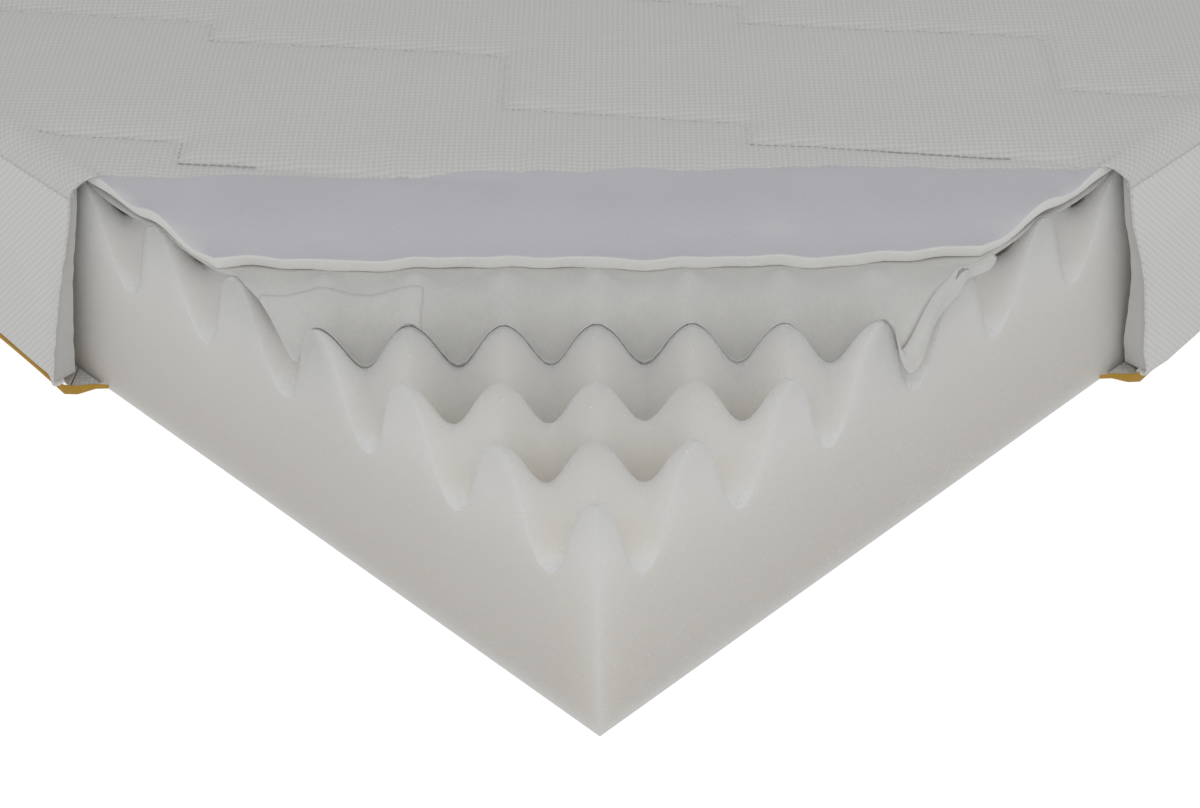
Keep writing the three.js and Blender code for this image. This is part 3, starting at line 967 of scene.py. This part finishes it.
def thread_mesh(runs):
    """Lockstitches laid end to end along the runs: each is a small spindle pulled into the knit."""
    stitch, gap, radius = 0.0042, 0.0002, 0.0004
    sides = 5
    points, faces = [], []
    profile = [(0.0, 0.35, -0.6), (0.25, 1.0, 0.2), (0.75, 1.0, 0.2), (1.0, 0.35, -0.6)]
    for start, end in runs:
        length = float(np.linalg.norm(end - start))
        if length < stitch:
            continue
        ahead = (end - start) / length
        aside = np.array([-ahead[1], ahead[0]])
        count = int(length / (stitch + gap))
        begins = (np.arange(count) * (stitch + gap))[:, None]
        middles = start + ahead * (begins + stitch / 2)
        level = knit_level(middles[:, 0], middles[:, 1])
        for number in range(count):
            base = len(points)
            for place, width, lift in profile:
                centre = start + ahead * (begins[number] + place * stitch)
                for side in range(sides):
                    angle = 2 * math.pi * side / sides
                    plan = centre + aside * radius * width * math.cos(angle)
                    z = level[number] + radius * (lift - 0.5 + width * math.sin(angle))
                    points.append((plan[0], plan[1], z))
            for ring in range(len(profile) - 1):
                for side in range(sides):
                    a = base + ring * sides + side
                    b = base + ring * sides + (side + 1) % sides
                    faces.append((a, b, b + sides, a + sides))
            faces.append(tuple(base + side for side in range(sides))[::-1])
            last = base + (len(profile) - 1) * sides
            faces.append(tuple(last + side for side in range(sides)))
    return mesh_of("quilting_thread", points, faces)


class MATTRESS_OT_top(Operator):
    """Make the quilted knit top and its stitching"""
    bl_idname = "mattress.top"
    bl_label = "Quilted top"

    def execute(self, context):
        cover = context.scene.mattress_cover
        top = add_piece("quilted_top", quilted_top(), knit_material("Knit"), smooth=80.0)
        thicken(top, cover.knit, offset=-1.0)
        # The stitches are real thread; their colour, darker than the knit, is painted shade of the stitch
        # creases
        thread = tape_material("Thread", tuple(c * 0.72 for c in cover.colour), 0.0006)
        stitches = add_piece("quilting_thread", thread_mesh(stitch_runs()), thread, smooth=60.0)
        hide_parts("top_panel")
        return {"FINISHED"}


# ---------------------------------------------------------------- border

CORNER_RADIUS = 0.014
# Each side's turn about the upright axis, half its run, its distance from the middle, which of its ends
# is cut open (0 for neither), how far that end curls in, how far the zip shows and the flap's sag
SIDES = {
    "foot": {"turn": 0.0, "half": HALF_WIDTH, "depth": HALF_LENGTH,
             "open": 1, "curl": 0.001, "peek": 0.0040, "hang": 0.0005},
    "right": {"turn": math.pi / 2, "half": HALF_LENGTH, "depth": HALF_WIDTH,
              "open": -1, "curl": 0.007, "peek": 0.0010, "hang": 0.004},
    "head": {"turn": math.pi, "half": HALF_WIDTH, "depth": HALF_LENGTH,
             "open": 0, "curl": 0.0, "peek": 0.0, "hang": 0.0005},
    "left": {"turn": -math.pi / 2, "half": HALF_LENGTH, "depth": HALF_WIDTH,
             "open": 0, "curl": 0.0, "peek": 0.0, "hang": 0.0005},
}
FAR_AWAY = 1.0
BORDER_STEP = 0.014
LOWER_TURN = 0.0062
FLEECE_LOFT = 0.0055
FLEECE_SETBACK = 0.0022
BORDER_LOW = FOOT_LOW.z
BORDER_CUT_TOP = CORE_HIGH.x - FOOT_HIGH.x
BORDER_CUT_LEAN = 0.032


FLARE_REACH = 0.11
FLARE_FADE = (0.30, 0.42)


def flap_opening(away):
    """How much of the full flare the border has at a distance from its cut end."""
    return np.exp(-away / FLARE_REACH) * (1 - smooth_step(*FLARE_FADE, away))


def side_point(side, along, inward, height):
    """A point of a side from its place along the side, its depth behind the outer face and its height."""
    centre = side["half"] - CORNER_RADIUS
    over = np.maximum(np.abs(along) - centre, 0) / CORNER_RADIUS
    reach = CORNER_RADIUS - inward
    x = np.sign(along) * (np.minimum(np.abs(along), centre) + reach * np.sin(over))
    y = -side["depth"] + CORNER_RADIUS - reach * np.cos(over)
    c, s = math.cos(side["turn"]), math.sin(side["turn"])
    return np.stack([x * c - y * s, x * s + y * c, height + 0 * x], axis=-1)


def side_extent(side, height):
    """Where a side starts and ends at a height, on its outer face."""
    mitre = side["half"] - CORNER_RADIUS + CORNER_RADIUS * math.pi / 4 - 0.0002
    lean = BORDER_CUT_LEAN * (HEIGHT - height) / HEIGHT
    cut = side["half"] - (HALF_WIDTH - CORE_HIGH.x) - BORDER_CUT_TOP - lean
    low = -cut if side["open"] < 0 else -mitre
    high = cut if side["open"] > 0 else mitre
    return low, high


def border_profile(tucked):
    """Rows of the border from its upper seam down and round the turned-in lower edge.
    Each row has its depth, its height and the direction into the cloth."""
    cover = bpy.context.scene.mattress_cover
    top = HEIGHT - cover.roll - SEAM_DROP - 0.0001
    low = BORDER_LOW - 0.0028
    tuck = cover.knit + 0.0001
    if tucked:
        start = [(tuck, top + 0.004), (tuck, top + 0.0006), (0.0006, top), (0.0, top - 0.0008)]
        last_turn = math.radians(120)
    else:
        start = [(0.0, top + 0.004), (0.0, top)]
        last_turn = math.radians(88)
    rows = [(depth, height, 1.0, 0.0) for depth, height in start]
    rows += [(0.0, z, 1.0, 0.0) for z in np.linspace(top - 0.004, low + LOWER_TURN, 26)]
    for angle in np.linspace(0, last_turn, 8)[1:]:
        c, s = math.cos(angle), math.sin(angle)
        rows.append((LOWER_TURN * (1 - c), low + LOWER_TURN * (1 - s), c, s))
    return np.array(rows)


def border_grid(side, inset, tucked, thickness=0.0, follows=1.0):
    """Grid of points of a border layer. Its outer side lies inset behind the outer face. Its inner
    side lies thickness further in, and only takes the share follows of the flare."""
    cover = bpy.context.scene.mattress_cover
    setback = 0.0 if tucked else FLEECE_SETBACK
    grid, cloth = [], []
    low, high = side_extent(side, HEIGHT)
    if side["open"]:
        near = graded_lines([(0.16, 0.0035), (high - low, BORDER_STEP)])
    else:
        near = np.linspace(0, high - low, int((high - low) / BORDER_STEP) + 1)
    for depth, level, into, up in border_profile(tucked):
        low, high = side_extent(side, level)
        low, high = low + setback * (side["open"] < 0), high - setback * (side["open"] > 0)
        away = near * (high - low) / near[-1]
        along = high - away if side["open"] > 0 else low + away
        if not side["open"]:
            away = np.full_like(along, FAR_AWAY)
        down = (HEIGHT - level) / HEIGHT
        fade = smooth_step(0.10, 0.32, down)
        opening = flap_opening(away)
        outcurl = 0.005 * np.maximum(1 - away / 0.014, 0) ** 2
        flare = (cover.flare * opening + outcurl) * smooth_step(0.06, 1.1, down) * follows
        belly = 0.0016 * math.sin(math.pi * min(1.0, down)) * (1 + 0.4 * ripple(along, 0.0, 0.5, 31))
        lip = 0.0007 * np.exp(-away / 0.006) * math.sin(7 * down + 1)
        curl = side["curl"] * np.maximum(1 - away / 0.022, 0) ** 2 * smooth_step(0.45, 0.85, down)
        uneven = 0.0005 * ripple(along, level, 0.09, 33)
        if tucked or not thickness:
            inward = depth + (inset + thickness) * into + curl
            height = level + (inset + thickness) * up
        else:
            inward = max(depth + inset * into, inset + thickness) + curl
            height = level + inset * up
        inward = inward + fade * (lip + uneven - belly) - flare
        ragged = fade * 0.0012 * ripple(level, along, 0.03, 35) * np.exp(-away / 0.01)
        grid.append(side_point(side, along + ragged, inward, height - side["hang"] * opening * down))
        cloth.append(np.column_stack([along, np.full_like(along, level + depth)]))
    return np.array(grid), np.array(cloth)


def add_border(name, side, inset, thickness, material, tucked=True, follows=1.0):
    outer, cloth = border_grid(side, inset, tucked)
    inner, _ = border_grid(side, inset, tucked, thickness, follows)
    points, faces = closed_shell(outer, inner)
    uv = np.concatenate([cloth.reshape(-1, 2), cloth.reshape(-1, 2)])
    return add_piece(name, mesh_of(name, points, faces, uv), material, smooth=60.0)


class MATTRESS_OT_border(Operator):
    """Make the knit sides of the cover and the fleece behind them"""
    bl_idname = "mattress.border"
    bl_label = "Border"

    def execute(self, context):
        cover = context.scene.mattress_cover
        # The border knit is made lighter: painted light on the sides
        knit_cloth, fleece_cloth = knit_material("Border knit", 1.10), shaded_fleece_material()
        for name, side in SIDES.items():
            knit = add_border(f"knit_border_{name}", side, 0.0, cover.knit, knit_cloth)
            fleece = add_border(f"fleece_border_{name}", side, cover.knit + 0.0002, FLEECE_LOFT,
                                fleece_cloth, tucked=False, follows=0.35)
            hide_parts(f"border_{name}")
            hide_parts(f"border_wadding_{name}")
        return {"FINISHED"}


# ---------------------------------------------------------------- base

BASE_TAIL = 0.019

# The base's two opened edges: the axis along the edge, the way out of it, where it lies on the other
# axis, and where the foam's wall stands above it.
BASE_EDGES = {
    "foot": (0, -1, -BASE_LOW.y, -CORE_LOW.y),
    "right": (1, 1, BASE_HIGH.x, CORE_HIGH.x),
}


def cut_end(side):
    """Where a side's cut end stands on the floor, along the side."""
    return max(side_extent(side, 0.0), key=lambda end: end * side["open"])


def base_blank():
    """The base panel with rounded edges, split into strips where it has to follow the flaps."""
    mesh = bmesh.new()
    mesh.from_mesh(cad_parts["base_panel"].data)
    bmesh.ops.remove_doubles(mesh, verts=mesh.verts, dist=1e-5)
    bmesh.ops.dissolve_limit(mesh, angle_limit=0.02, verts=mesh.verts, edges=mesh.edges)
    edges = [e for e in mesh.edges if e.calc_face_angle(0) > 0.5]
    bmesh.ops.bevel(mesh, geom=edges, offset=0.0010, segments=3, profile=0.5, affect="EDGES")
    bmesh.ops.triangulate(mesh, faces=[f for f in mesh.faces if len(f.verts) > 4])
    for place in [-BASE_TAIL, -0.014, -0.009, -0.004, *np.arange(0.0, 0.40, 0.02)]:
        for name, (axis, *_) in BASE_EDGES.items():
            spot = Vector((0.0, 0.0, 0.0))
            spot[axis] = cut_end(SIDES[name]) - SIDES[name]["open"] * place
            normal = Vector((1 - axis, axis, 0.0))
            geometry = mesh.verts[:] + mesh.edges[:] + mesh.faces[:]
            bmesh.ops.bisect_plane(mesh, geom=geometry, dist=1e-6, plane_co=spot, plane_no=normal)
    return mesh


def follow_flaps(mesh):
    """Moves the base's edge out below the flaring border, and below the tape's tails."""
    flare = 0.85 * bpy.context.scene.mattress_cover.flare
    for vert in mesh.verts:
        for name, (axis, way, edge, wall) in BASE_EDGES.items():
            away = (cut_end(SIDES[name]) - vert.co[axis]) * SIDES[name]["open"]
            place = way * vert.co[1 - axis]
            shift = 0.0
            if place > edge - 0.006 and away > -0.001:
                shift = flare * float(flap_opening(max(away, 0.0)))
            elif place > wall - 0.013 and -BASE_TAIL < away < 0.003:
                shift = (edge - place + flare) * float(smooth_step(-BASE_TAIL, 0.0, away))
            vert.co[1 - axis] += way * shift


class MATTRESS_OT_base(Operator):
    """Make the cloth underside"""
    bl_idname = "mattress.base"
    bl_label = "Base"

    def execute(self, context):
        mesh = base_blank()
        follow_flaps(mesh)
        data = bpy.data.meshes.new("base_cloth")
        mesh.to_mesh(data)
        mesh.free()
        layer = data.uv_layers.new(name="cloth")
        for loop in data.loops:
            layer.data[loop.index].uv = data.vertices[loop.vertex_index].co.xy
        # The base knit is made darker: painted shade on the underside
        cloth = add_piece("base_cloth", data, knit_material("Base knit", 0.92), smooth=40.0)
        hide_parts("base_panel")
        return {"FINISHED"}


# ---------------------------------------------------------------- zip

ZIP_STEP = 0.02
TAPE_TAIL = 0.018
ROW_END = -0.006


def zip_path(inward, tail):
    """Plan of the zip from the foot's cut edge round the mattress to the right side's cut edge.
    Each end goes past the cut by the length tail, bending in towards the foam. A tail below 0
    stops short of the cut."""
    cover = bpy.context.scene.mattress_cover
    stretches = []
    for name in ("foot", "left", "head", "right"):
        side = SIDES[name]
        low, high = side_extent(side, 0.006)
        along = np.linspace(high, low, int((high - low) / ZIP_STEP) + 1)
        away = np.full_like(along, FAR_AWAY)
        if side["open"]:
            near = graded_lines([(0.30, 0.006), (high - low, ZIP_STEP)])
            reach = near * (high - low + tail) / (high - low)
        if side["open"] > 0:
            along, away = high + tail - reach, near
        if side["open"] < 0:
            along, away = (low - tail + reach)[::-1], near[::-1]
        opening = flap_opening(np.maximum(away - tail, 0.0))
        end = smooth_step(tail, 0.0, away) if tail > 0 else 0 * away
        beside = smooth_step(*reversed(FLARE_FADE), away) * side["peek"]
        bend = -(0.9 * cover.flare * opening + beside) * (1 - end)
        bend = bend + (HALF_WIDTH - CORE_HIGH.x - inward - 0.0006) * end
        stretches.append(side_point(side, along, inward + bend, 0.0)[:, :2])
    return np.concatenate(stretches)


def upright_strip(name, path, low, high, thickness, material, taper=0.0):
    """A thin strip standing on its edge along a plan path, with rounded long edges.
    Over the length taper it narrows from below at both ends."""
    walked = np.concatenate([[0], np.cumsum(np.linalg.norm(np.diff(path, axis=0), axis=1))])
    from_end = np.minimum(walked, walked[-1] - walked)
    lift = (high - low) * 0.62 * smooth_step(taper, 0.0, from_end) if taper else 0 * from_end
    ahead = np.gradient(path, axis=0)
    ahead /= np.linalg.norm(ahead, axis=1, keepdims=True)
    aside = np.column_stack([-ahead[:, 1], ahead[:, 0]])
    half = thickness / 2
    soft = min(half, 0.0003)
    points, faces = [], []
    for place, side, raised in zip(path, aside, lift):
        foot = low + raised
        section = [(-half, foot + soft), (-half, high - soft), (-half + soft, high), (half - soft, high),
                   (half, high - soft), (half, foot + soft), (half - soft, foot), (-half + soft, foot)]
        points.extend([(*(place + side * off), z) for off, z in section])
    count, ring = len(path), len(section)
    for i in range(count - 1):
        for j in range(ring):
            a, b = i * ring + j, i * ring + (j + 1) % ring
            faces.append((a, b, b + ring, a + ring))
    faces.append(tuple(range(ring))[::-1])
    faces.append(tuple((count - 1) * ring + j for j in range(ring)))
    return add_piece(name, mesh_of(name, points, faces), material, smooth=50.0)


def coil_row(name, inward, low, high, thickness, phase, material):
    """One row of the zip's coil: a turn at every tooth pitch, leaning like a wound coil."""
    pitch = bpy.context.scene.mattress_zip.tooth_pitch
    path = zip_path(inward, ROW_END)
    steps = np.linalg.norm(np.diff(path, axis=0), axis=1)
    reach = np.concatenate([[0], np.cumsum(steps)])
    places = np.arange(pitch * (1 + phase), reach[-1] - pitch, pitch)
    x = np.interp(places, reach, path[:, 0])
    y = np.interp(places, reach, path[:, 1])
    ahead = np.column_stack([np.gradient(x), np.gradient(y)])
    ahead /= np.linalg.norm(ahead, axis=1, keepdims=True)
    aside = np.column_stack([-ahead[:, 1], ahead[:, 0]])
    half = thickness / 2
    wide, lean = pitch * 0.36, pitch * 0.18
    middle = (low + high) / 2
    rings = [(low, 0.55, -lean), (middle, 1.0, 0.0), (high, 0.55, lean)]
    points, faces = [], []
    for number in range(len(places)):
        base = len(points)
        centre = np.array([x[number], y[number]])
        for z, size, shift in rings:
            for off, along in ((-half * size, 0), (0, wide), (half * size, 0), (0, -wide)):
                plan = centre + aside[number] * off + ahead[number] * (along * size + shift)
                points.append((plan[0], plan[1], z))
        for ring in range(2):
            for side in range(4):
                a = base + 4 * ring + side
                b = base + 4 * ring + (side + 1) % 4
                faces.append((a, b, b + 4, a + 4))
        faces.append((base + 3, base + 2, base + 1, base))
        faces.append((base + 8, base + 9, base + 10, base + 11))
    return add_piece(name, mesh_of(name, points, faces), material, smooth=30.0)


class MATTRESS_OT_zip(Operator):
    """Make the zip's tapes and coils and finish its slider"""
    bl_idname = "mattress.zip"
    bl_label = "Zip"

    def execute(self, context):
        woven = tape_material("Zip tape", context.scene.mattress_zip.tape_colour, 0.0011)
        nylon = coil_material()
        tape, coil = 0.0009, 0.0018
        tape_middle = HALF_WIDTH - TAPE_HIGH.x + tape / 2 + 0.00005
        coil_middle = HALF_WIDTH - COIL_HIGH.x + coil / 2 + 0.0001
        long_path = zip_path(tape_middle, TAPE_TAIL)
        short_path = zip_path(tape_middle, ROW_END)
        pieces = {
            "zip_tape_lower": upright_strip("tape_lower", long_path, TAPE_LOW.z, TAPE_HIGH.z,
                                            tape, woven, taper=0.024),
            "zip_tape_upper": upright_strip("tape_upper", short_path, UPPER_TAPE_LOW.z, UPPER_TAPE_HIGH.z,
                                            tape, woven),
            "zip_coil_lower": coil_row("coil_lower", coil_middle, COIL_LOW.z, COIL_HIGH.z,
                                       coil, 0.0, nylon),
            "zip_coil_upper": coil_row("coil_upper", coil_middle, UPPER_COIL_LOW.z, UPPER_COIL_HIGH.z,
                                       coil, 0.5, nylon),
        }
        for node, piece in pieces.items():
            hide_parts(node)
        metal = metal_material()
        for node in ("zip_slider", "zip_pull"):
            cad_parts[node].material_slots[0].material = metal
        return {"FINISHED"}


# ---------------------------------------------------------------- stage

CAMERA_FROM_CORNER = Vector((0.6536, -0.6243, 0.9007))
CAMERA_TURN = math.radians(45.0 + 1.09)
CAMERA_PITCH = math.radians(37.61)
CAMERA_ROLL = math.radians(-1.22)


def add_camera(lens):
    data = bpy.data.cameras.new("Camera")
    data.lens = lens
    data.sensor_width = 36.0
    data.sensor_fit = "HORIZONTAL"
    data.clip_start = 0.05
    camera = bpy.data.objects.new("Camera", data)
    bpy.context.scene.collection.objects.link(camera)
    corner = Vector((CORE_HIGH.x, CORE_LOW.y, CORE_LOW.z))
    turn = Matrix.Rotation(CAMERA_TURN, 4, "Z")
    tilt = Matrix.Rotation(math.pi / 2 - CAMERA_PITCH, 4, "X")
    roll = Matrix.Rotation(CAMERA_ROLL, 4, "Z")
    camera.matrix_world = Matrix.Translation(corner + CAMERA_FROM_CORNER) @ turn @ tilt @ roll
    bpy.context.scene.camera = camera


def add_area(name, place, target, size, power):
    data = bpy.data.lights.new(name, "AREA")
    data.shape = "SQUARE"
    data.size = size
    data.energy = power
    lamp = bpy.data.objects.new(name, data)
    lamp.location = place
    lamp.rotation_euler = (Vector(target) - Vector(place)).to_track_quat("-Z", "Y").to_euler()
    bpy.context.scene.collection.objects.link(lamp)


def add_floor(colour, glow):
    """A wide floor that glows a little, so that it stays even, and isn't mirrored in the pieces."""
    half = 14.0
    mesh = bpy.data.meshes.new("floor")
    corners = [(-half, -half, 0), (half, -half, 0), (half, half, 0), (-half, half, 0)]
    mesh.from_pydata(corners, [], [(0, 1, 2, 3)])
    floor = bpy.data.objects.new("floor", mesh)
    bpy.context.scene.collection.objects.link(floor)
    material, tree, shader = new_material("Floor", 0.9)
    tint(tree, shader, noise(tree, coordinates(tree), 1.5, 2.0), colour, 0.015)
    shader.inputs["Emission Color"].default_value = (1, 1, 1, 1)
    shader.inputs["Emission Strength"].default_value = glow
    mesh.materials.append(material)
    floor.visible_diffuse = False
    floor.visible_glossy = False
    return floor


def add_sky(below, above):
    """Even light all round, going from one strength below to another above."""
    world = bpy.data.worlds.new("Studio")
    bpy.context.scene.world = world
    world.use_nodes = True
    tree = world.node_tree
    sky = tree.nodes["Background"]
    sky.inputs["Color"].default_value = (1, 1, 1, 1)
    direction = tree.nodes.new("ShaderNodeTexCoord").outputs["Generated"]
    level = map_range(tree, axes(tree, direction)[2], -0.5, 0.5, below, above)
    tree.links.new(level, sky.inputs["Strength"])


class MATTRESS_OT_stage(Operator):
    """Set the floor, the lights and the camera"""
    bl_idname = "mattress.stage"
    bl_label = "Stage"

    def execute(self, context):
        stage = context.scene.mattress_stage
        floor = add_floor(stage.floor_colour, 0.72)
        add_sky(stage.bounce, stage.sky)
        corner = Vector((CORE_HIGH.x, CORE_LOW.y, CORE_TOP))
        add_area("Front softbox", corner + CAMERA_FROM_CORNER * 1.6, corner, 1.1, 8)
        add_area("Left softbox", (-1.6, -3.2, 1.2), (-0.2, -0.9, 0.1), 2.0, 3)
        add_area("Right softbox", (3.0, 0.6, 1.2), (0.4, 0.2, 0.1), 2.0, 3)
        add_area("Back softbox", (-1.9, 3.2, 1.6), (-0.3, 0.9, 0.1), 2.0, 5)
        add_camera(stage.lens)
        context.scene.view_settings.view_transform = "Standard"
        return {"FINISHED"}


# ---------------------------------------------------------------- panel and registration

OPERATORS = (
    MATTRESS_OT_stage,
    MATTRESS_OT_foam,
    MATTRESS_OT_lining,
    MATTRESS_OT_wadding,
    MATTRESS_OT_top,
    MATTRESS_OT_border,
    MATTRESS_OT_base,
    MATTRESS_OT_zip,
)


class MATTRESS_PT_panel(Panel):
    """Lists the mattress's settings and the operators that make its pieces"""
    bl_idname = "MATTRESS_PT_panel"
    bl_label = "Mattress"
    bl_space_type = "VIEW_3D"
    bl_region_type = "UI"
    bl_category = "Mattress"

    def draw(self, context):
        for label in SETTINGS:
            group = getattr(context.scene, label)
            box = self.layout.box()
            for name in group.bl_rna.properties.keys():
                if name not in ("rna_type", "name"):
                    box.prop(group, name)
        for operator in OPERATORS:
            self.layout.operator(operator.bl_idname)


SETTINGS = {
    "mattress_foam": MattressFoam,
    "mattress_cover": MattressCover,
    "mattress_zip": MattressZip,
    "mattress_stage": MattressStage,
}


def register():
    for cls in (*SETTINGS.values(), *OPERATORS, MATTRESS_PT_panel):
        bpy.utils.register_class(cls)
    for label, cls in SETTINGS.items():
        setattr(bpy.types.Scene, label, PointerProperty(type=cls))


def unregister():
    for label in SETTINGS:
        delattr(bpy.types.Scene, label)
    for cls in (MATTRESS_PT_panel, *reversed(OPERATORS), *reversed(SETTINGS.values())):
        bpy.utils.unregister_class(cls)


def main():
    register()
    for operator in OPERATORS:
        family, name = operator.bl_idname.split(".")
        getattr(getattr(bpy.ops, family), name)()


if __name__ == "__main__":
    main()
